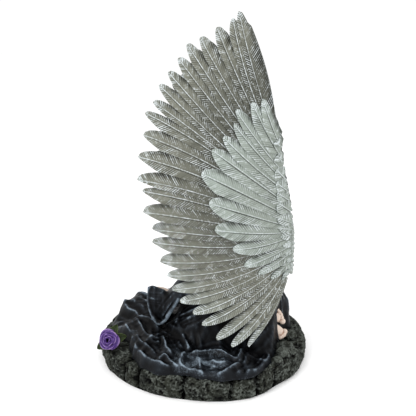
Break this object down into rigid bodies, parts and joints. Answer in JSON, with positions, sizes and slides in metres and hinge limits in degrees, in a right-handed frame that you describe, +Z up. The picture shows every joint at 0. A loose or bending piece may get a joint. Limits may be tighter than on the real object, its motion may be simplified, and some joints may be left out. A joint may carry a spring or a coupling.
{
  "type": "angel figurine",
  "caption": "Kneeling winged figure in a spread gown on a round base of laid stones, with a rose at the rim; a painted cast-resin ornament that stands by its own weight.",
  "frame": {"origin": "middle of the stone base, on the ground under it", "axes": "+Z up; the figure faces -Y; +X is towards its left hand"},
  "size_m": [0.159, 0.1587, 0.2599],
  "materials": {
    "stone_paint": "resin cast as rough stones, painted dark grey-green, matt",
    "gown_paint": "resin painted black and brushed with pale blue-grey along the folds",
    "feather_paint": "resin painted pale grey-green, darker in the grooves, near white on the quills",
    "rose_paint": "resin painted purple, satin",
    "flesh_paint": "the figure's face, hands and feet: resin painted pale cream, satin",
    "hair_paint": "the figure's hair: resin painted near black, brushed with brown",
    "leaf_paint": "the rose's leaves: resin painted dark olive green"
  },
  "bodies": {
    "root": {"stone_base": "stone_paint", "kneeling_angel": "gown_paint", "left_wing": "feather_paint", "right_wing": "feather_paint", "rose": "rose_paint"}
  },
  "joints": []
}
